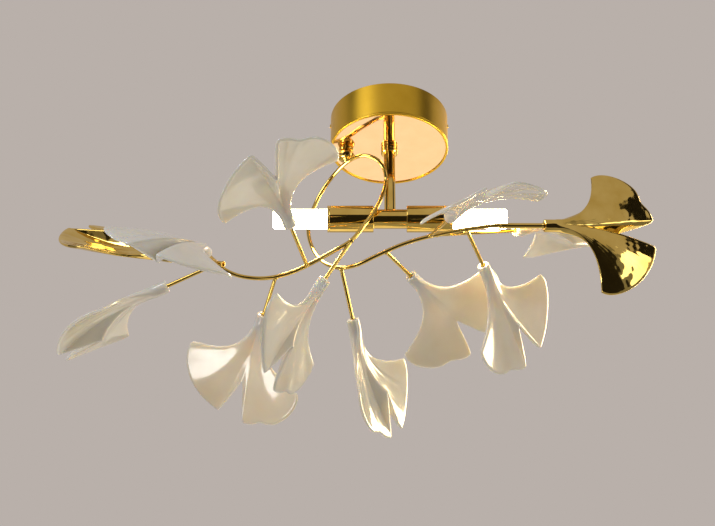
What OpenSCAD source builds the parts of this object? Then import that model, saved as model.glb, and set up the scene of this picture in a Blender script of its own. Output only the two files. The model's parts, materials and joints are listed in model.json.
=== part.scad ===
// Semi-flush ceiling light: a round canopy, a short stem and a two-bulb lamp bar,
// with a looping branch of rod that carries twelve ginkgo leaves on brazed twigs.
// Millimetres, +Z up. The origin is on the ceiling face, on the axis of the stem.
// +X runs along the lamp bar, and the front of the light faces -Y.

/* [Canopy] */
// Outer diameter of the canopy
canopy_d = 120; // [110:1:150]
// Height of the canopy below the ceiling
canopy_h = 39; // [34:1:60]
// Wall of the canopy shell
canopy_wall = 1; // [0.8:0.1:1.6]
// Width of the turned-in lip under the base plate
lip_w = 2.4; // [1.6:0.1:4]
// Thickness of the polished base plate
plate_t = 1.5; // [1:0.1:3]

/* [Ceiling bracket] */
// Thickness of the bracket strip
bracket_t = 2; // [1.5:0.1:3]
// Width of the bracket strip
bracket_w = 22; // [18:1:30]
// Distance between the two mounting slots
slot_pitch = 76; // [70:1:80]
// Length of a mounting slot, end to end
slot_l = 14; // [10:1:16]
// Width of a mounting slot
slot_w = 5; // [4:0.5:6]
// Diameter of the cable hole in the bracket
cable_hole_d = 10; // [8:0.5:12]
// Height of the bracket's ears below the ceiling
ear_h = 15; // [13:1:20]
// Diameter of the side screws
side_screw_d = 4; // [3:0.5:5]

/* [Stem] */
// Outer diameter of the stem
stem_d = 11.5; // [10.5:0.5:13]
// Bore of the stem
stem_bore = 7.5; // [6.5:0.5:8]
// Diameter of the collar under the base plate
collar_d = 17; // [15:0.5:20]
// Height of the collar
collar_h = 7; // [5:0.5:9]

/* [Lamp bar] */
// Distance of the lamp bar's axis below the ceiling
bar_drop = 125; // [115:1:140]
// Outer diameter of the lamp bar
bar_d = 19.5; // [18:0.5:21]
// Wall of the lamp bar
bar_wall = 1.5; // [1:0.1:2]
// Free length of the bar between the two cups
bar_gap = 33; // [30:1:50]
// Outer diameter of a lamp cup
cup_d = 27; // [26:0.5:30]
// Length of a lamp cup
cup_l = 46; // [42:1:52]
// Wall of a lamp cup
cup_wall = 1.2; // [0.8:0.1:1.4]
// Thickness of a lamp cup's floor
cup_floor = 2; // [1.5:0.5:3]

/* [Bulbs] */
// Diameter of a bulb's frosted sleeve
bulb_d = 19.5; // [17:0.5:21]
// Length of a bulb that stands out of its cup
bulb_out = 54; // [40:1:60]
// Length of a bulb's base inside the cup
bulb_in = 18; // [14:1:20]
// Diameter of a bulb's contact pins
pin_d = 2; // [1.5:0.5:2.5]
// Distance between the two pins of a bulb
pin_pitch = 9; // [8:0.5:10]
// Length of the pins
pin_l = 11; // [9:1:13]

/* [Branch] */
// Diameter of the branch rod
rod_d = 4; // [3.6:0.1:4.4]
// Diameter of the twigs
twig_d = 3.6; // [3:0.1:4]
// Outer diameter of the sockets on the branch's two ends
socket_d = 6; // [5.6:0.1:6.6]
// Diameter of the post's foot on the base plate
post_foot_d = 15; // [12:0.5:18]
// Diameter of the post's round knob
post_knob_d = 17; // [14:0.5:18]

/* [Leaves] */
// Outer diameter of a leaf's stalk
stalk_d = 12.6; // [11:0.2:14]
// Length of the round stalk
stalk_l = 11; // [10:1:14]
// Bore of the stalk
stalk_bore = 5.7; // [5:0.1:6.5]
// Depth of the bore
bore_l = 16; // [14:1:17]
// Thickness of the blade
blade_t = 3.4; // [2.4:0.1:4.4]
// Radius of the blade's outer edge
blade_r = 70; // [58:1:72]
// Distance of the blade's fan centre from the stalk's mouth
fan_x = 52; // [48:1:56]
// Angle of the outermost veins to the stalk
fan_a = 83; // [74:1:88]
// Depth of the notch between the lobes
notch_depth = 43; // [28:1:46]
// Width of the notch at the outer edge
notch_w = 22; // [14:1:28]
// Depth of the small second notch
nick_depth = 4; // [0:0.5:6]

/* [Fits] */
// Gap between a bulb's pin and its hole
pin_gap = 0.1; // [0.05:0.01:0.2]
// Gap between a leaf's bore and the sleeve that it turns on
swivel_gap = 0.05; // [0.03:0.01:0.1]
// Gap between a leaf and a socket that it meets end to end
end_gap = 0.4; // [0.3:0.1:1]
// Gap between loose parts inside the canopy and the cups
free_gap = 0.3; // [0.2:0.1:0.6]

/* [Hidden] */
$fn = 48;

// Inside of the canopy, from the ceiling down
canopy_r = canopy_d / 2;
plate_z = -canopy_h + canopy_wall;
plate_top = plate_z + plate_t;
washer_d = 24;
washer_t = 1.5;
nut_w = 17;
nut_h = 6;
nut_z = plate_top + washer_t;
stem_top = nut_z + nut_h + 4;
stem_bottom = -bar_drop + bar_d / 2 - bar_wall - 3;
screw_z = -9;
screw_proud = 0.8;
ear_x = sqrt(pow(canopy_r - canopy_wall, 2) - pow(bracket_w / 2, 2)) - free_gap;
block_x = 9;
block_l = 18;
block_w = 14;
block_h = 12;
block_z = -bracket_t - block_h;
hole_z = block_z + 3;
row_pitch = 4.4;
earth_x = -17;
earth_d = 4;
earth_l = 9;

// Along the lamp bar
cup_x = bar_gap / 2;
cup_end = cup_x + cup_l;
bar_in = 6;
seat_x = cup_x + bar_in;
holder_d = cup_d - 2 * cup_wall - 2 * free_gap;
bulb_x = cup_end - bulb_in;
sleeve_wall = 1.5;
base_d = bulb_d - 2 * sleeve_wall;
grip_l = 8;
base_l = 12;
core_d = 9;

// Wires
wire_d = 2.6;
wire_gap = 0.25;
wire_x = wire_d / 2 + 2 * wire_gap;
wire_bend = 5;
wire_steps = 4;
wire_sides = 12;

// The branch, from its left end to its right end: points chosen along the rod's centre line,
// from the middle of the lamp bar
ROUTE = [
    [-167, -35, -76], [-157, -33, -84], [-141, -31, -89], [-120, -29, -89], [-98, -27, -82],
    [-77, -26, -70], [-54, -25, -54], [-38, -25, -42], [-26, -23, -23], [-15, -18, -1],
    [-8, -12, 20], [-4, -6.6, 42], [-6, -12, 54], [-14, -17, 62], [-28, -13, 69],
    [-44, 2, 71], [-60, 19, 63], [-74, 29, 43], [-82, 30, 13], [-79, 22, -16],
    [-68, 10, -43], [-52, -3, -60], [-34, -12, -63], [-14, -18, -56], [9, -23, -47],
    [33, -26, -40], [63, -27, -33], [98, -33, -31], [112, -32, -30]
];
rod_sides = 10;
rod_steps = 3;
rod_line = [for (p = ROUTE) p - [0, 0, bar_drop]];
// The post stands on this point of the loop
post_foot = rod_line[15];
post_h = plate_z - post_foot[2];
post_neck_d = 6;
knob_h = 0.28 * post_h;
flange_h = 0.1 * post_h;
// A twig stops short of the bore's floor, and its sleeve starts inside the mouth
twig_short = 2;
sleeve_inset = 3;
sleeve_l = bore_l - twig_short - sleeve_inset;
// Sockets: the right one runs up to its leaf
socket_grip = 7;
socket_left_l = 15;

// One row per leaf: name, place on the branch in points of the route, direction of the twig
// as azimuth and elevation, length of the twig, roll of the blade, its cup, droop and twist,
// the side of its small second notch, and whether it is gold
LEAVES = [
    ["1", 4.8, -105, 9, 58, -145, 2, -20, -6, -1, false],
    ["2", 25.2, -72, -14, 56, 209, -6, -11, -8, 1, false],
    ["3", 28, 9, 6, 39, 100, 0, 22, 6, 1, true],
    ["4", 25.4, 31, 22, 103, 20, -2, 17, -7, 1, false],
    ["5", 26.3, 65, -22, 45, -61, -2, 11, -3, 1, false],
    ["6", 23.4, 51, -12, 40, -40, 0, -2, 0, 1, false],
    ["7", 21.2, 72, -46, 52, -76, -2, 21, -5, 1, false],
    ["8", 7, 172, -59, 52, 184, 7, -12, 5, 1, false],
    ["9", 3.4, 109, -28, 43, -147, -4, -2, 1, 1, false],
    ["10", 0, 166, -20, 53, -11, -11, 25, -11, -1, false],
    ["11", 0.1, -103, -18, 43, 138, 13, -36, 15, 1, false],
    ["12", 0, 154, 24, 57, 129, -8, 18, 16, 1, true]
];
GOLD_RIGHT = LEAVES[2];
GOLD_LEFT = LEAVES[11];

FIXED = [
    "ceiling_bracket", "canopy_shell", "canopy_plate", "side_screws", "terminal_block", "earth_screw",
    "stem", "stem_collar", "stem_washer", "stem_nut", "lamp_bar", "cup_left", "cup_right",
    "holder_left", "holder_right", "wire_left", "wire_right",
    "bulb_left", "bulb_base_left", "bulb_core_left", "bulb_pins_left",
    "bulb_right", "bulb_base_right", "bulb_core_right", "bulb_pins_right",
    "branch", "branch_post", "socket_left", "socket_right", "swivel_sleeves"
];

function unit(v) = v / norm(v);
function spline(p0, p1, p2, p3, t) =
    0.5 * (2 * p1 + (p2 - p0) * t + (2 * p0 - 5 * p1 + 4 * p2 - p3) * t * t
        + (3 * p1 - p0 - 3 * p2 + p3) * t * t * t);
function knot(points, i) =
    let (last = len(points) - 1)
    i < 0 ? 2 * points[0] - points[1]
    : i > last ? 2 * points[last] - points[last - 1]
    : points[i];
function curve_at(points, u) =
    let (i = min(floor(u), len(points) - 2))
    spline(knot(points, i - 1), points[i], points[i + 1], knot(points, i + 2), u - i);
function curve(points, per_span) = [
    for (i = [0:(len(points) - 1) * per_span])
        curve_at(points, i / per_span)
];

// Rings round a path, each turned as little as possible from the one before
function tangents(path) =
    let (last = len(path) - 1)
    [for (i = [0:last]) unit(path[min(i + 1, last)] - path[max(i - 1, 0)])];
function carry(normal, tangent) = unit(normal - (normal * tangent) * tangent);
function tube_points(path, radius, sides) =
    let (along = tangents(path), last = len(path) - 1)
    [
        for (i = 0, side = carry([0, 0, 1], along[0]); i <= last;
                i = i + 1, side = carry(side, along[min(i, last)]))
            for (k = [0:sides - 1])
                let (a = 360 * k / sides)
                path[i] + radius * (cos(a) * side + sin(a) * cross(along[i], side))
    ];
function ring_faces(rings, sides) = [
    for (i = [0:rings - 2], k = [0:sides - 1], half = [0, 1])
        let (a = i * sides + k, b = i * sides + (k + 1) % sides)
        half == 0 ? [a, b + sides, b] : [a, a + sides, b + sides]
];

module tube(path, d, sides) {
    rings = len(path);
    last = (rings - 1) * sides;
    polyhedron(
        points = tube_points(path, d / 2, sides),
        faces = concat(
            [for (k = [1:sides - 2]) [0, k, k + 1]],
            ring_faces(rings, sides),
            [for (k = [1:sides - 2]) [last, last + k + 1, last + k]]));
}

// A leaf: its veins leave the end of the stalk, run on along it and fan out to the outer edge
S_HALF = [0.015, 0.04, 0.07, 0.1, 0.13, 0.18, 0.26, 0.36, 0.46, 0.58, 0.72, 0.84, 0.93, 0.98, 1];
S_STEPS = concat([for (i = [len(S_HALF) - 1:-1:0]) -S_HALF[i]], [0], S_HALF);
V_STEPS = [0, 0.12, 0.25, 0.4, 0.55, 0.7, 0.83, 0.93, 0.98, 1];
root_r = stalk_d / 2;
vein_run = 42;
throat = 4;
lobe_swell = 3;
nick_at = 0.36;
nick_w = 0.09;
lip_power = 10;
// The notch is a wedge with a round inner end, and its lips run smoothly into the outer edge
function notch_side(a) =
    let (slope = notch_w / notch_depth / 2, soft = sqrt(a * a + 5) - 2.2, open = slope * cos(soft) - sin(soft))
    open > 0.02 ? (blade_r - notch_depth) * slope / open : 1000;
function edge_radius(s, side) =
    let (outer = blade_r * (1 - 0.1 * pow(abs(s), 4) - 0.04 * pow(abs(s), 18)))
    outer / pow(1 + pow(outer / notch_side(fan_a * abs(s)), lip_power), 1 / lip_power)
    - nick_depth * exp(-pow((s - side * nick_at) / nick_w, 2));
function vein(s, v, side) =
    let (r = edge_radius(s, side), a = fan_a * s, w = (1 - v) * (1 - v))
    [
        w * stalk_l + 2 * v * (1 - v) * (stalk_l + vein_run) + v * v * (fan_x + r * cos(a)),
        (w + 2 * v * (1 - v)) * root_r * s + v * v * r * sin(a)
    ];
function swell(s, v, y, cup, droop, twist) =
    twist * (y / 60) * v - cup * pow(y / 60, 2) - droop * pow(v, 2.5)
    + lobe_swell * pow(sin(180 * s), 2) * v + throat * s * s * 4 * v * (1 - v) * (1 - v);
function half_thickness(s, v) =
    let (flare = max(0, 1 - 2 * v), power = 2 + 20 * min(1, 2 * v))
    (blade_t / 2 + (root_r - blade_t / 2) * pow(flare, 2))
    * sqrt(max(0, 1 - pow(abs(s), power)))
    * (v > 0.95 ? 0.35 + 13 * (1 - v) : 1);
function blade_point(s, v, up, leaf) =
    let (p = vein(s, v, leaf[9]))
    [p[0], p[1], swell(s, v, p[1], leaf[6], leaf[7], leaf[8]) + up * half_thickness(s, v)];

last_s = len(S_STEPS) - 1;
loop_n = 2 * last_s;
function loop_point(v, k, leaf) =
    k <= last_s ? blade_point(S_STEPS[k], v, 1, leaf) : blade_point(S_STEPS[loop_n - k], v, -1, leaf);
function mouth_point(k, leaf) = let (p = loop_point(0, k, leaf)) [0, p[1], p[2]];
function leaf_points(leaf) = concat(
    [for (k = [0:loop_n - 1]) mouth_point(k, leaf)],
    [for (v = V_STEPS, k = [0:loop_n - 1]) loop_point(v, k, leaf)]);
function cap_faces(first) = [for (k = [1:loop_n - 2]) [first, first + k + 1, first + k]];
function rim_faces(first) = [
    for (k = [0:last_s - 1], half = [0, 1])
        let (a = first + k, b = first + k + 1, c = first + (loop_n - k - 1), d = first + (loop_n - k) % loop_n)
        if (half == 0 ? k < last_s - 1 : k > 0)
            half == 0 ? [a, b, c] : [a, c, d]
];

module leaf_body(leaf) {
    rings = len(V_STEPS) + 1;
    polyhedron(
        points = leaf_points(leaf),
        faces = concat(
            cap_faces(0),
            [for (f = ring_faces(rings, loop_n)) [f[0], f[2], f[1]]],
            rim_faces((rings - 1) * loop_n)));
}

// Frame of a leaf: the origin at the stalk's mouth, +X along the stalk
module at_leaf(leaf, along = 0) {
    translate(curve_at(rod_line, leaf[1]))
        rotate([0, 0, leaf[2]])
            rotate([0, -leaf[3], 0])
                translate([along, 0, 0])
                    children();
}

module rod_x(d, length) {
    rotate([0, 90, 0])
        cylinder(d = d, h = length);
}

module slot_cut(depth) {
    straight = slot_l - slot_w;
    for (end = [-1, 1])
        translate([end * straight / 2, 0, 0])
            cylinder(d = slot_w, h = depth);
    translate([-straight / 2, -slot_w / 2, 0])
        cube([straight, slot_w, depth]);
}

module ceiling_bracket() {
    color("silver")
        difference() {
            union() {
                translate([-ear_x, -bracket_w / 2, -bracket_t])
                    cube([2 * ear_x, bracket_w, bracket_t]);
                for (side = [-1, 1])
                    translate([side * (ear_x - bracket_t / 2) - bracket_t / 2, -bracket_w / 2, -ear_h])
                        cube([bracket_t, bracket_w, ear_h]);
            }
            for (side = [-1, 1]) {
                translate([side * slot_pitch / 2, 0, -bracket_t - 1])
                    slot_cut(bracket_t + 2);
                translate([side * (ear_x - bracket_t / 2) - bracket_t / 2 - 1, 0, screw_z])
                    rod_x(side_screw_d, bracket_t + 2);
            }
            translate([0, 0, -bracket_t - 1])
                cylinder(d = cable_hole_d, h = bracket_t + 2);
        }
}

module canopy_shell() {
    color("goldenrod")
        difference() {
            rotate_extrude($fn = 96)
                polygon([
                    [canopy_r - canopy_wall, 0], [canopy_r, 0], [canopy_r, -canopy_h + 0.6],
                    [canopy_r - 0.6, -canopy_h], [canopy_r - lip_w, -canopy_h],
                    [canopy_r - lip_w, plate_z], [canopy_r - canopy_wall, plate_z]
                ]);
            for (side = [-1, 1])
                translate([side < 0 ? -canopy_r - 1 : ear_x - 1, 0, screw_z])
                    rod_x(side_screw_d, canopy_r - ear_x + 2);
        }
}

module canopy_plate() {
    color("navajowhite")
        difference() {
            translate([0, 0, plate_z])
                cylinder(r = canopy_r - canopy_wall, h = plate_t, $fn = 96);
            translate([0, 0, plate_z - 1])
                cylinder(d = stem_d, h = plate_t + 2);
        }
}

module side_screws() {
    screw_end = canopy_r + screw_proud;
    screw_l = screw_end - ear_x + bracket_t + 2;
    recess = 2;
    color("goldenrod")
        for (side = [-1, 1])
            mirrored(side)
                difference() {
                    translate([screw_end - screw_l, 0, screw_z])
                        rod_x(side_screw_d, screw_l);
                    translate([screw_end - recess, 0, screw_z])
                        rod_x(side_screw_d / 2, recess + 1, $fn = 6);
                }
}

module terminal_block() {
    color("ivory")
        difference() {
            translate([block_x, -block_w / 2, block_z])
                cube([block_l, block_w, block_h]);
            for (row = [-1, 0, 1])
                translate([block_x - 1, row * row_pitch, hole_z])
                    rod_x(wire_d + 2 * wire_gap, block_l + 2);
        }
}

module earth_screw() {
    color("darkgoldenrod")
        translate([earth_x, 0, -bracket_t - earth_l]) {
            cylinder(d = earth_d, h = earth_l);
            translate([0, 0, earth_l - 3])
                cylinder(d = 2 * earth_d, h = 3);
        }
}

module stem() {
    color("gold")
        difference() {
            translate([0, 0, stem_bottom])
                cylinder(d = stem_d, h = stem_top - stem_bottom);
            translate([0, 0, stem_bottom - 1])
                cylinder(d = stem_bore, h = stem_top - stem_bottom + 2);
        }
}

module stem_collar() {
    color("gold")
        difference() {
            translate([0, 0, plate_z - collar_h])
                rotate_extrude()
                    polygon([
                        [0, 0], [collar_d / 2 - 1, 0], [collar_d / 2, 1], [collar_d / 2, collar_h - 1],
                        [collar_d / 2 - 1, collar_h], [0, collar_h]
                    ]);
            translate([0, 0, plate_z - collar_h - 1])
                cylinder(d = stem_d, h = collar_h + 2);
        }
}

module stem_washer() {
    color("silver")
        translate([0, 0, plate_top])
            difference() {
                cylinder(d = washer_d, h = washer_t);
                translate([0, 0, -1])
                    cylinder(d = stem_d, h = washer_t + 2);
            }
}

module stem_nut() {
    color("silver")
        translate([0, 0, nut_z])
            difference() {
                cylinder(d = nut_w / cos(30), h = nut_h, $fn = 6);
                translate([0, 0, -1])
                    cylinder(d = stem_d, h = nut_h + 2);
            }
}

module lamp_bar() {
    half = cup_x + bar_in;
    color("gold")
        difference() {
            translate([-half, 0, -bar_drop])
                rod_x(bar_d, 2 * half);
            translate([-half - 1, 0, -bar_drop])
                rod_x(bar_d - 2 * bar_wall, 2 * half + 2);
            translate([0, 0, -bar_drop])
                cylinder(d = stem_d, h = bar_d);
        }
}

module lamp_cup() {
    color("gold")
        translate([cup_x, 0, -bar_drop])
            rotate([0, 90, 0])
                rotate_extrude()
                    polygon([
                        [bar_d / 2, 0], [cup_d / 2 - 1, 0], [cup_d / 2, 1], [cup_d / 2, cup_l],
                        [cup_d / 2 - cup_wall, cup_l], [cup_d / 2 - cup_wall, cup_floor], [bar_d / 2, cup_floor]
                    ]);
}

module lamp_holder() {
    pin_hole_l = pin_l + 1;
    color("white")
        difference() {
            translate([seat_x, 0, -bar_drop])
                rod_x(holder_d, bulb_x - free_gap - seat_x);
            for (side = [-1, 1])
                translate([bulb_x - pin_hole_l, side * pin_pitch / 2, -bar_drop])
                    rod_x(pin_d + 2 * pin_gap, pin_hole_l + 1);
        }
}

// Frosted sleeve, open at the end that the base plugs into
module bulb_sleeve() {
    tip_round = 1.5;
    sleeve_l = bulb_in + bulb_out - grip_l;
    color("lightyellow")
        translate([bulb_x + grip_l, 0, -bar_drop])
            rotate([0, 90, 0])
                rotate_extrude()
                    polygon([
                        [base_d / 2, 0], [bulb_d / 2, 0], [bulb_d / 2, sleeve_l - tip_round],
                        [bulb_d / 2 - tip_round, sleeve_l], [0, sleeve_l],
                        [0, sleeve_l - sleeve_wall], [base_d / 2, sleeve_l - sleeve_wall]
                    ]);
}

module bulb_base() {
    color("whitesmoke")
        translate([bulb_x, 0, -bar_drop])
            rod_x(base_d, base_l);
}

module bulb_core() {
    color("khaki")
        translate([bulb_x + base_l, 0, -bar_drop])
            rod_x(core_d, bulb_in + bulb_out - base_l - sleeve_wall - 4);
}

module bulb_pins() {
    color("silver")
        for (side = [-1, 1])
            translate([bulb_x - pin_l, side * pin_pitch / 2, -bar_drop])
                rod_x(pin_d, pin_l);
}

// From the holder's back through the bar, up the stem and over to the terminal block
module wire(side) {
    row_y = side * row_pitch;
    rise = side * wire_x;
    color("dimgray")
        tube(curve([
                [side * seat_x, 0, -bar_drop], [side * (seat_x + wire_x) / 2, 0, -bar_drop],
                [rise + side * wire_bend, 0, -bar_drop + wire_gap], [rise, 0, stem_bottom + 1],
                [rise, 0, (stem_bottom + stem_top) / 2], [rise, 0, nut_z], [rise, 0, stem_top + 1],
                [wire_x + 1, 0.8 * row_y, hole_z - wire_bend], [block_x - wire_bend / 2, row_y, hole_z],
                [block_x + wire_bend / 2, row_y, hole_z], [block_x + wire_bend, row_y, hole_z]
            ], wire_steps), wire_d, wire_sides);
}

module branch() {
    color("gold")
        tube(curve(rod_line, rod_steps), rod_d, rod_sides);
}

// Turned post between the base plate and the top of the branch's loop
module branch_post() {
    color("gold")
        translate(post_foot)
            rotate_extrude()
                polygon(concat(
                    [[0, 0], [post_neck_d / 2, 0], [post_neck_d / 2, post_h / 2 - knob_h]],
                    [
                        for (a = [-60:15:60])
                            [post_knob_d / 2 - knob_h * (1 - cos(a)), post_h / 2 + knob_h * sin(a)]
                    ],
                    [
                        [post_foot_d / 2 - 3, post_h - 1.6 * flange_h], [post_foot_d / 2, post_h - flange_h],
                        [post_foot_d / 2, post_h], [0, post_h]
                    ]));
}

module branch_socket(leaf, length) {
    color("gold")
        at_leaf(leaf, -socket_grip)
            difference() {
                rod_x(socket_d, length);
                translate([-1, 0, 0])
                    rod_x(rod_d, length + 2);
            }
}

module twig(leaf) {
    color("gold")
        at_leaf(leaf)
            rod_x(twig_d, leaf[4] + bore_l - twig_short);
}

module swivel_sleeves() {
    color("silver")
        for (leaf = LEAVES)
            at_leaf(leaf, leaf[4] + sleeve_inset)
                difference() {
                    rod_x(stalk_bore - 2 * swivel_gap, sleeve_l);
                    translate([-1, 0, 0])
                        rod_x(twig_d, sleeve_l + 2);
                }
}

module leaf(leaf) {
    color(leaf[10] ? "gold" : "ivory")
        at_leaf(leaf, leaf[4])
            rotate([leaf[5], 0, 0])
                difference() {
                    leaf_body(leaf);
                    translate([-1, 0, 0])
                        rod_x(stalk_bore, bore_l + 1);
                }
}

module mirrored(side) {
    if (side < 0)
        mirror([1, 0, 0])
            children();
    else
        children();
}

ceiling_bracket();
canopy_shell();
canopy_plate();
side_screws();
terminal_block();
earth_screw();
stem();
stem_collar();
stem_washer();
stem_nut();
lamp_bar();
mirrored(-1) lamp_cup();  // cup_left
mirrored(1) lamp_cup();  // cup_right
mirrored(-1) lamp_holder();  // holder_left
mirrored(1) lamp_holder();  // holder_right
wire(-1);  // wire_left
wire(1);  // wire_right
mirrored(-1) bulb_sleeve();  // bulb_left
mirrored(-1) bulb_base();  // bulb_base_left
mirrored(-1) bulb_core();  // bulb_core_left
mirrored(-1) bulb_pins();  // bulb_pins_left
mirrored(1) bulb_sleeve();  // bulb_right
mirrored(1) bulb_base();  // bulb_base_right
mirrored(1) bulb_core();  // bulb_core_right
mirrored(1) bulb_pins();  // bulb_pins_right
branch();
branch_post();
branch_socket(GOLD_LEFT, socket_left_l);  // socket_left
branch_socket(GOLD_RIGHT, GOLD_RIGHT[4] + socket_grip - end_gap);  // socket_right
swivel_sleeves();
for (row = LEAVES) {
    twig(row);
    leaf(row);
}
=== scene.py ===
"""Semi-flush ceiling light: a looped gold branch with twelve ginkgo leaves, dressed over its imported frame.

Sizes are in millimetres and become metres when a mesh is made. The origin is on the ceiling face, on the
axis of the stem. +X runs along the lamp bar, the front of the light faces -Y and +Z is up.
"""

from __future__ import annotations

import itertools
import json
import logging
from dataclasses import dataclass, field
from enum import Enum

import bmesh
import bpy
import numpy as np
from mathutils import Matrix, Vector

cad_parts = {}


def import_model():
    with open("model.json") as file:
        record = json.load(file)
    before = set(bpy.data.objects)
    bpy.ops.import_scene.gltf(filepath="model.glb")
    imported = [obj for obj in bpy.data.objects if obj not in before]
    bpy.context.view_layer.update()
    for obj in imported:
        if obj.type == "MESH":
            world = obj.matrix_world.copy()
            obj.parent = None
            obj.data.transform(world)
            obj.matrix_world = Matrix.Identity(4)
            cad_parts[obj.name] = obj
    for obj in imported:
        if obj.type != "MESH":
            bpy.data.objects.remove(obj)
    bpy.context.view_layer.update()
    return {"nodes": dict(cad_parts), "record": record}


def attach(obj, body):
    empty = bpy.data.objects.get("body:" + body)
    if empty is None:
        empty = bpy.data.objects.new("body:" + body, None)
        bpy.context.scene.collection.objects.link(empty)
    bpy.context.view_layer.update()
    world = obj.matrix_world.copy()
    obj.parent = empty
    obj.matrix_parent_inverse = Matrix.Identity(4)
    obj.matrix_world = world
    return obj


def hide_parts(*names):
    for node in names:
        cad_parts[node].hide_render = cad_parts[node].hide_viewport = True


Array = np.ndarray
Colour = tuple[float, float, float]
Point = tuple[float, float, float]
Pair = tuple[float, float]
Socket = bpy.types.NodeSocket
METRES = 0.001
# Numbers of the two gold leaves, whose twigs carry the branch on through its end sockets
GOLD_LEFT, GOLD_RIGHT = 12, 3
LOG = logging.getLogger("ceiling_light")


class Side(Enum):
    """The two ends of the lamp bar."""

    LEFT = -1
    RIGHT = 1

    @property
    def word(self) -> str:
        """Lower-case word that ends the names of this side's nodes."""
        return self.name.lower()


# Surfaces


def unit(vectors: Array) -> Array:
    """Scale vectors to length one, and leave a zero vector as it is.

    Args:
        vectors: Array whose last axis holds the components.

    Returns:
        Array of the same shape.
    """
    length = np.linalg.norm(vectors, axis=-1, keepdims=True)
    return vectors / np.where(length > 0, length, 1)


def curve_at(knots: Array, places: Array) -> Array:
    """Points on the Catmull-Rom curve through the knots.

    Between two knots the curve is the cubic that passes both, with half the step between each knot's
    neighbours as its slope. Beyond the ends the last step is mirrored.

    Args:
        knots: Array (n, 3) of the points that the curve passes.
        places: Array (m,) of places, where 0 is the first knot and n - 1 the last.

    Returns:
        Array (m, 3) of points.
    """
    padded = np.vstack([2 * knots[0] - knots[1], knots, 2 * knots[-1] - knots[-2]])
    first = np.clip(np.floor(places).astype(int), 0, len(knots) - 2)
    t = (places - first)[:, None]
    p0, p1, p2, p3 = (padded[first + k] for k in range(4))
    bend, twist = 2 * p0 - 5 * p1 + 4 * p2 - p3, 3 * p1 - p0 - 3 * p2 + p3
    return 0.5 * (2 * p1 + (p2 - p0) * t + bend * t**2 + twist * t**3)


def grid_quads(rows: int, columns: int, wrap_rows: bool = False) -> Array:
    """Faces of a grid of points whose columns run round and close.

    Args:
        rows: Number of rows of points.
        columns: Number of points in each row.
        wrap_rows: Whether the last row joins the first.

    Returns:
        Array (faces, 4) of point numbers.
    """
    row = np.arange(rows if wrap_rows else rows - 1)[:, None]
    column = np.arange(columns)[None, :]
    below, right = (row + 1) % rows, (column + 1) % columns
    corners = [row * columns + column, row * columns + right, below * columns + right, below * columns + column]
    return np.stack(np.broadcast_arrays(*corners), -1).reshape(-1, 4)


@dataclass(frozen=True)
class Place:
    """A frame: an origin and three unit axes, one per row."""

    origin: Array
    axes: Array

    @staticmethod
    def along(origin: Array | Point, direction: Array | Point) -> Place:
        """Frame whose third axis points along the direction.

        Args:
            origin: Origin of the frame.
            direction: Direction of the frame's third axis, which isn't vertical.

        Returns:
            The frame.
        """
        third = unit(np.asarray(direction, float))
        first = unit(np.cross([0.0, 0.0, 1.0], third))
        return Place(np.asarray(origin, float), np.stack([first, np.cross(third, first), third]))


@dataclass(frozen=True)
class Surface:
    """A mesh as arrays: points in millimetres, four-cornered faces and a value triple for each point."""

    points: Array
    quads: Array
    marks: Array | None = None

    def placed(self, place: Place) -> Surface:
        """The same surface in another frame."""
        return Surface(self.points @ place.axes + place.origin, self.quads, self.marks)

    @staticmethod
    def joined(parts: list[Surface]) -> Surface:
        """Several surfaces as one mesh.

        Args:
            parts: The surfaces, none of which carries marks.

        Returns:
            One surface that holds all of them.
        """
        starts = np.cumsum([0] + [len(part.points) for part in parts[:-1]])
        return Surface(
            np.vstack([part.points for part in parts]),
            np.vstack([part.quads + start for part, start in zip(parts, starts)]),
        )


def rounded(corners: list[Pair], radii: list[float] | float, closed: bool = True) -> Array:
    """Profile with its corners rounded off.

    Each corner becomes the parabola that leaves one edge and meets the next at the corner's radius, with one
    more point on each edge that keeps the flats flat when they are shaded smooth.

    Args:
        corners: Points of the profile.
        radii: Radius at each corner, or one radius for all.
        closed: Whether the last point joins the first. The two ends of an open profile stay sharp.

    Returns:
        Array (n, 2) of points.
    """
    corner = np.array(corners, float)
    radius = np.broadcast_to(np.asarray(radii, float), len(corner)).copy()
    if not closed:
        radius[[0, -1]] = 0
    before = unit(np.roll(corner, 1, 0) - corner)[:, None]
    after = unit(np.roll(corner, -1, 0) - corner)[:, None]
    t = np.linspace(0, 1, 6)[None, :, None]
    reach = radius[:, None, None]
    middle = corner[:, None]
    arc = (1 - t) ** 2 * (middle + reach * before) + 2 * t * (1 - t) * middle + t**2 * (middle + reach * after)
    return np.concatenate([middle + 1.2 * reach * before, arc, middle + 1.2 * reach * after], 1).reshape(-1, 2)


def turned(profile: Array, closed: bool = True, sides: int = 96) -> Surface:
    """Surface of revolution about the third axis: a profile of radius and height carried round a circle.

    Args:
        profile: Array (n, 2) of radius and height.
        closed: Whether the profile closes on itself, as for a ring. An open one ends on the axis.
        sides: Number of steps round the circle.

    Returns:
        The surface.
    """
    angle = np.linspace(0, 2 * np.pi, sides, endpoint=False)
    radius, height = profile[:, :1], profile[:, 1:]
    points = np.stack([radius * np.cos(angle), radius * np.sin(angle), height + 0 * angle], -1)
    return Surface(points.reshape(-1, 3), grid_quads(len(profile), sides, closed))


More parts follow.
